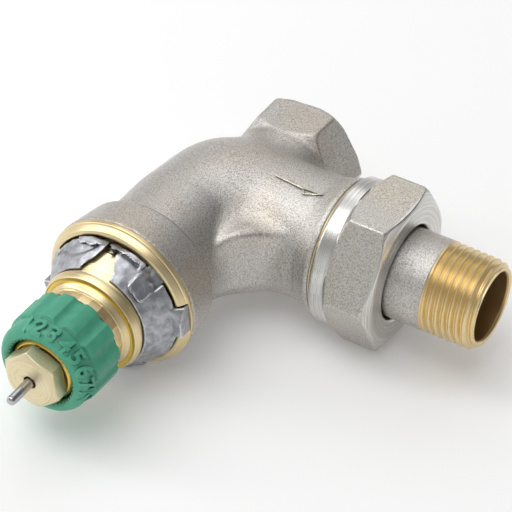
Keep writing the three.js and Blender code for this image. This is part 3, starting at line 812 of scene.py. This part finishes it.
# ---- neck ---------------------------------------------------------------------------------
def build_neck():
    """The faceted collar under the dial, a flange with a face groove, and the hexagon behind it."""
    face, rim = FLANGE_FRONT, FLANGE_R
    outline = [
        (5.25, NECK_FRONT), (6.9, NECK_FRONT), (6.9, NECK_STEP), (8.0, NECK_STEP), (8.0, face - 1.2),
        (8.02, face - 0.95), (8.6, face - 0.1), (8.66, face + 0.15), (9.3, face + 0.2), (9.38, face),
        (9.55, face + 0.1), (rim, face + 1.15), (rim - 0.03, face + 1.7), (9.2, face + 1.8),
        (11.25, HEX_FRONT), (11.25, HEX_BACK), (10.9, HEX_BACK + 0.2), (10.9, -27.8),
        (9.5, -27.8), (9.5, -26.1), (10.9, -26.1), (10.9, NECK_BACK), (8.8, NECK_BACK), (8.8, -31),
        (6, -31), (6, -40.6), (5.25, -41.2),
    ]

    def cut(radius, station, angle):
        facet = soft_min(radius, hex_reach(angle, FACET_FLATS, 0, FACETS), 0.03)
        hexagon = soft_min(radius, hex_reach(angle, NECK_FLATS, HEX_CORNER), 0.1)
        faceted = (radius > 7.3) & (station < face - 1.15) & (station > NECK_STEP - 0.1)
        base = (radius > 9.2) & (station > HEX_FRONT + 0.1) & (station < HEX_BACK + 0.2)
        return np.where(faceted, facet, np.where(base, hexagon, radius))

    def pick(radius, station):
        # the face groove takes the deeper gold brass: painted shade in the groove
        groove = (station > face - 0.1) & (station < face + 0.3) & (radius > 8.55) & (radius < 9.42)
        return np.where(groove, 1, 0)

    neck = turned("neck", outline, on_head, [BRASS_HEAD, BRASS_GOLD], 15 * FACETS, 0.16, 0.3, cut, pick)
    for edge in neck.data.edges:
        ends = [neck.data.vertices[i].co / MM - Vector(ORIGIN) for i in edge.vertices]
        along = max(end.y for end in ends) < face - 1.15 and min(end.y for end in ends) > NECK_STEP - 0.1
        corner = all(abs(math.remainder(math.atan2(end.z, end.x), TURN / FACETS)) < 0.002 for end in ends)
        edge.use_edge_sharp = along and corner and min(math.hypot(end.x, end.z) for end in ends) > 7.5
    return neck


# ---- presetting ring ----------------------------------------------------------------------
DOME = ((RING_MOUTH_R + 0.25, 0.05), (RING_MOUTH_R + 0.6, 0), (7.9, 0.25), (8.4, 0.72), (8.72, 1.45),
        (RING_BAND_R, 2.4), (RING_BAND_R, 4.6))


def flute_offset(angle):
    """Place round the grip, from 0 in the middle of a rib to 1 in the middle of a flute."""
    part = TURN / FLUTES
    return np.abs((angle - math.radians(RIB_ANGLE) + part / 2) % part - part / 2) / part * 2


def build_ring():
    """The dial: a fluted grip that ends in shallow arches, and a domed band for the figures."""
    front = [(r, RING_FRONT + s) for r, s in DOME]
    outline = [
        (7.2, RING_BACK), (RING_R - 0.12, RING_BACK), (RING_R, RING_BACK - 0.15), (RING_R, front[-1][1]),
        *front[-2::-1], (RING_MOUTH_R, RING_FRONT + 0.35), (RING_MOUTH_R, -50.3), (7.2, -50.3),
    ]

    def cut(radius, station, angle):
        offset = flute_offset(angle)
        beside = (1 - np.maximum(offset, RIB_SHARE)) / (1 - RIB_SHARE)
        flute = FLUTE_DEPTH * (1 - beside ** 2) + 0.06 * (np.minimum(offset, RIB_SHARE) / RIB_SHARE) ** 2
        arch = ARCH_FOOT + ARCH_RISE * np.sqrt(np.clip(1 - (offset / ARCH_SHARE) ** 2, 0, 1))
        edge = smooth_step(-0.1, 0.1, station - arch)
        on_arch = smooth_step(0.0, 0.2, 0.7 - offset)
        groove = 0.16 * np.exp(-((station - arch + 0.08) / 0.14) ** 2) * on_arch
        numbered = soft_min(radius, RING_BAND_R - 0.02, 0.1) - 0.06
        outer = numbered * (1 - edge) + (radius - flute) * edge - groove
        inner = (radius < RING_MOUTH_R + 0.1) & (station < RING_FRONT + 3)
        teeth = 0.22 * (np.sin(angle * 44) > 0.1)
        return np.where(radius > 8.75, outer, np.where(inner, radius - teeth, radius))

    return turned("dial_ring", outline, on_head, [GREEN], 480, 0.14, 0.2, cut)


def build_digits():
    """Raised figures round the numbered band, N after 7; they lean over the dome to its foot."""
    curve_r, curve_s = np.array(DOME).T
    along = np.concatenate([[0], np.cumsum(np.hypot(np.diff(curve_r), np.diff(curve_s)))])
    points, faces = [], []
    for i, figure in enumerate("1234567N"):
        curve = bpy.data.curves.new("figure", "FONT")
        curve.body = figure
        curve.size, curve.shear = DIGIT_SIZE, 0.12
        curve.align_x, curve.resolution_u = "CENTER", 4
        curve.extrude, curve.bevel_depth, curve.bevel_resolution, curve.offset = 0.4, 0.06, 1, 0.06
        text = bpy.data.objects.new("figure", curve)
        bpy.context.scene.collection.objects.link(text)
        mesh = bpy.data.meshes.new_from_object(text.evaluated_get(bpy.context.evaluated_depsgraph_get()))
        start = len(points)
        angle = math.radians(FIRST_DIGIT - DIGIT_STEP * i)
        for vertex in mesh.vertices:
            u, v, w = vertex.co
            reach = 1.1 + v
            radius = np.interp(reach, along, curve_r) + w - 0.02
            station = RING_FRONT + np.interp(reach, along, curve_s)
            points.append(on_head(radius, station, angle - u / RING_BAND_R))
        faces += [[start + v for v in polygon.vertices] for polygon in mesh.polygons]
        bpy.data.objects.remove(text)
        bpy.data.meshes.remove(mesh)
        bpy.data.curves.remove(curve)
    piece = new_piece("dial_digits", points, faces, [GREEN])
    piece.data.set_sharp_from_angle(angle=math.radians(50))
    return piece


def build_sleeve():
    front = SLEEVE_FRONT
    outline = [
        (4.2, front + 0.8), (5.1, front + 0.8), (5.3, front), (5.5, front), (6, front + 0.5), (6, -50.6),
        (4.95, -50.6), (4.95, -45.1), (4, -45.1), (4, -43.5), (4.95, -43.5), (4.95, -41.8), (3.9, -41.8),
        (3.9, SLEEVE_BACK), (2.8, SLEEVE_BACK), (2.8, -33), (1.8, -33), (1.8, -34.2), (3.4, -34.2),
        (3.4, -46), (4.2, -46.2),
    ]
    return turned("sleeve", outline, on_head, [BRASS_GOLD], 120, 0.12)


def build_gland():
    corner = GLAND_FLATS / 2 / math.cos(math.pi / 6)
    back = GLAND_FRONT + 3.2
    outline = [
        (1.18, GLAND_FRONT + 0.12), (1.4, GLAND_FRONT), (4.3, GLAND_FRONT),
        (corner + 0.1, GLAND_FRONT + 0.85), (corner + 0.1, back), (3.9, back), (3.9, GLAND_BACK),
        (2.3, GLAND_BACK), (2.3, -55.4), (1.18, -55.6),
    ]

    def cut(radius, station, angle):
        hexagon = soft_min(radius, hex_reach(angle, GLAND_FLATS, GLAND_PHASE), 0.06)
        return np.where(radius > 3.95, hexagon, radius)

    return turned("gland", outline, on_head, [BRASS_PALE], 240, 0.1, 0.2, cut)


def build_pin():
    outline = [
        (0, PIN_TIP), (0.3, PIN_TIP + 0.03), (0.62, PIN_TIP + 0.18), (0.83, PIN_TIP + 0.42),
        (0.9, PIN_TIP + 0.8), (0.9, -47.8), (1.7, -47.8),
        (1.7, PIN_BACK), (0, PIN_BACK),
    ]
    return turned("pin", outline, on_head, [STEEL], 64, 0.12)


# ---- tail ---------------------------------------------------------------------------------
def build_nut():
    start = NUT_BACK + 3.3
    corner = NUT_FLATS / 2 / math.cos(math.pi / 6)
    outline = [
        (11.75, NUT_BACK), (NUT_COLLAR_R - 0.5, NUT_BACK), (NUT_COLLAR_R, NUT_BACK + 0.5),
        (NUT_COLLAR_R, start), (corner + 0.15, start + 1.25),
        (corner + 0.15, NUT_FRONT - 1.75), (corner - 0.35, NUT_FRONT - 1.1),
        (13.0, NUT_FRONT - 0.12), (12.6, NUT_FRONT), (NUT_HOLE_R + 0.35, NUT_FRONT),
        (NUT_HOLE_R, NUT_FRONT - 0.4), (NUT_HOLE_R, NUT_BACK + 9.9), (11.2, NUT_BACK + 9.6),
    ]

    def cut(radius, station, angle):
        hexagon = soft_min(radius, hex_reach(angle, NUT_FLATS, NUT_PHASE + 90), 0.35)
        inner = thread(radius - 0.55, station, angle, NUT_BACK + 0.5, NUT_BACK + 7.5, UNION_PITCH, -0.55)
        outside = (radius > 12.9) & (station > start + 0.02)
        bore = (radius < 12) & (radius > 10.9) & (station < NUT_BACK + 8)
        return np.where(outside, hexagon, np.where(bore, np.maximum(inner, 11.52), radius))

    def pick(radius, station):
        hexagon = (station > start + 0.1) & (station < NUT_FRONT - 0.9) & (radius > 12.5)
        inside = (radius < NUT_HOLE_R + 0.1) | ((radius < 12) & (station < NUT_BACK + 9.7))
        return np.where(inside, 2, np.where(hexagon, 0, 1))

    materials = [NICKEL_HEX, NICKEL_BRUSHED, BRASS_TAIL]
    return turned("nut", outline, on_tail, materials, 360, 0.22, 0.3, cut, pick)


def build_tail():
    start = TAIL_END - 0.9 - THREAD_TURNS * THREAD_PITCH
    outline = [
        (TAIL_BORE_R, TAIL_START), (7, TAIL_START + 0.15), (8.8, SPIGOT_END + 0.1), (10.3, SPIGOT_END + 0.3),
        (10.8, SPIGOT_END + 0.8), (10.8, 36.2), (PIPE_R, 36.8), (PIPE_R, start - 0.2),
        (PIPE_R + 0.02, start), (THREAD_R + 0.15, start + 0.4),
        (THREAD_R, TAIL_END - 1.1), (THREAD_R - 0.85, TAIL_END - 0.12),
        (THREAD_R - 1.0, TAIL_END), (TAIL_BORE_R + 0.35, TAIL_END), (TAIL_BORE_R, TAIL_END - 0.4),
    ]

    def cut(radius, station, angle):
        outer = (radius > 7.2) & (station > start - 0.3)
        cutting = thread(radius, station, angle, start, TAIL_END + 0.6, THREAD_PITCH, THREAD_DEPTH)
        return np.where(outer, np.maximum(cutting, THREAD_R - 1.0), radius)

    def pick(radius, station):
        inside = (radius < TAIL_BORE_R + 0.2) & (station > TAIL_START + 0.5)
        plated = (station < start + 0.02) & (radius > 7.5)
        return np.where(inside, 2, np.where(plated, 0, 1))

    materials = [NICKEL, BRASS_TAIL, BRASS_DARK]
    return turned("tail_pipe", outline, on_tail, materials, 200, 0.12, 0.13, cut, pick)


# ---- assembly -----------------------------------------------------------------------------
def fit(piece, body, slot, *nodes):
    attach(piece, body)
    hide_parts(*nodes)
    return piece


fit(build_casting(), "body", "nickel_plate", "valve_body")
fit(build_arrow(), "body", "nickel_plate", "valve_body")
fit(build_rim(), "body", "turned_brass", "valve_body")
fit(build_spigot(), "body", "turned_brass", "valve_body")
fit(build_inlet_thread(), "body", "turned_brass", "valve_body")
fit(build_locking_ring(), "body", "zinc_casting", "locking_ring")
fit(build_neck(), "body", "turned_brass", "insert_housing")
fit(build_ring(), "presetting", "green_plastic", "presetting_ring")
fit(build_digits(), "presetting", "green_plastic", "presetting_ring")
fit(build_sleeve(), "presetting", "turned_brass", "presetting_sleeve")
fit(build_gland(), "presetting", "turned_brass", "gland_nut")
fit(build_pin(), "plunger", "bright_steel", "pressure_pin")
fit(build_nut(), "nut", "nickel_plate", "union_nut")
fit(build_tail(), "tail", "nickel_plate", "tailpiece")

INNER_LOOKS = {
    BRASS_HEAD: ("cone_retainer", "valve_cone"),
    STEEL: ("valve_spindle", "return_spring", "spindle_circlip", "regulator_spring", "gland_washer",
            "diaphragm_plate"),
    RUBBER: ("housing_o_ring", "sleeve_o_ring", "gland_o_ring", "spindle_o_ring", "cone_washer",
             "diaphragm"),
    POLYMER: ("regulator_piston", "regulator_cage"),
}
for look, names in INNER_LOOKS.items():
    for name in names:
        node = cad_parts.get(name)
        if node:
            node.data.materials.clear()
            node.data.materials.append(look)
            node.data.polygons.foreach_set("use_smooth", np.ones(len(node.data.polygons), bool))
            node.data.set_sharp_from_angle(angle=math.radians(35))


# ---- stage, light and camera --------------------------------------------------------------
def build_floor():
    mesh = bpy.data.meshes.new("floor")
    size = 3.0
    corners = [(-size, -size, 0), (size, -size, 0), (size, size, 0), (-size, size, 0)]
    mesh.from_pydata(corners, [], [(0, 1, 2, 3)])
    look = Look("pale_floor")
    cloud = look.noise(look.place(), 0.01, 2.0)
    look.shade(Base_Color=look.mix(cloud, (0.9, 0.9, 0.9, 1), (0.93, 0.93, 0.93, 1)), Roughness=0.9,
               Emission_Color=(1, 1, 1, 1), Emission_Strength=0.13)
    mesh.materials.append(look.material)
    floor = bpy.data.objects.new("floor", mesh)
    bpy.context.scene.collection.objects.link(floor)


def softbox(name, azimuth, elevation, distance, size, power):
    """An area light aimed at the valve from a compass direction, as the camera's is counted."""
    light = bpy.data.lights.new(name, "AREA")
    light.shape, light.size, light.size_y = "RECTANGLE", size[0], size[1]
    light.energy = power
    lamp = bpy.data.objects.new(name, light)
    low, high = cad_box
    centre = (low + high) / 2
    a, e = math.radians(azimuth), math.radians(elevation)
    back = Vector((math.sin(a) * math.cos(e), -math.cos(a) * math.cos(e), math.sin(e)))
    lamp.location = centre + back * distance
    lamp.rotation_mode = "QUATERNION"
    lamp.rotation_quaternion = (-back).to_track_quat("-Z", "Y")
    bpy.context.scene.collection.objects.link(lamp)


DIM_SIDE = (0.86, 0.5, 0.0)  # the direction in which the studio is dimmer


def build_world():
    """A pale studio: bright overhead and low down, darker between, and dimmer on one side."""
    world = bpy.data.worlds.new("studio")
    world.use_nodes = True
    tree = world.node_tree
    at = tree.nodes.new("ShaderNodeTexCoord")
    split = tree.nodes.new("ShaderNodeSeparateXYZ")
    ramp = tree.nodes.new("ShaderNodeValToRGB")
    tree.links.new(at.outputs["Generated"], split.inputs[0])
    tree.links.new(split.outputs["Z"], ramp.inputs[0])
    stops = ((0.0, 0.85), (0.3, 0.65), (0.52, 0.3), (0.74, 0.27), (0.88, 0.85), (1.0, 1.1))
    ramp.color_ramp.elements[0].position, ramp.color_ramp.elements[1].position = stops[0][0], stops[-1][0]
    for at_z, _ in stops[1:-1]:
        ramp.color_ramp.elements.new(at_z)
    for element, (_, level) in zip(ramp.color_ramp.elements, stops):
        element.color = (level, level, level, 1)
    side = tree.nodes.new("ShaderNodeVectorMath")
    side.operation = "DOT_PRODUCT"
    side.inputs[1].default_value = DIM_SIDE
    tree.links.new(at.outputs["Generated"], side.inputs[0])
    dim = tree.nodes.new("ShaderNodeMapRange")
    for socket, value in zip(dim.inputs[1:5], (-0.1, 0.75, 1.0, 0.4)):
        socket.default_value = value
    tree.links.new(side.outputs["Value"], dim.inputs[0])
    tree.links.new(dim.outputs[0], tree.nodes["Background"].inputs["Strength"])
    tree.links.new(ramp.outputs["Color"], tree.nodes["Background"].inputs["Color"])
    bpy.context.scene.world = world


def build_camera():
    """The viewpoint, as compass direction, height and roll, with the point that it aims at."""
    azimuth, elevation, roll = (math.radians(v) for v in (30.395, 40.217, 1.585))
    aim, distance = Vector((-11.05, 19.067, 6.558)) * MM, 0.41525
    back = Vector((math.sin(azimuth) * math.cos(elevation), -math.cos(azimuth) * math.cos(elevation),
                   math.sin(elevation)))
    level = Vector((math.cos(azimuth), math.sin(azimuth), 0))
    upright = back.cross(level)
    right = level * math.cos(roll) + upright * math.sin(roll)
    up = back.cross(right)
    data = bpy.data.cameras.new("camera")
    data.sensor_width, data.lens = 36.0, 159.14
    data.clip_start, data.clip_end = 0.01, 20
    camera = bpy.data.objects.new("camera", data)
    turn = Matrix((right, up, back)).transposed().to_4x4()
    camera.matrix_world = Matrix.Translation(aim + back * distance) @ turn
    bpy.context.scene.collection.objects.link(camera)
    bpy.context.scene.camera = camera


build_floor()
build_world()
softbox("key", -35, 70, 0.6, (0.6, 0.3), 1.15)
softbox("left_strip", -75, 35, 0.6, (0.15, 0.5), 0.8)
softbox("back_fill", 200, 45, 0.7, (0.6, 0.3), 0.7)
build_camera()
bpy.context.scene.view_settings.view_transform = "Standard"
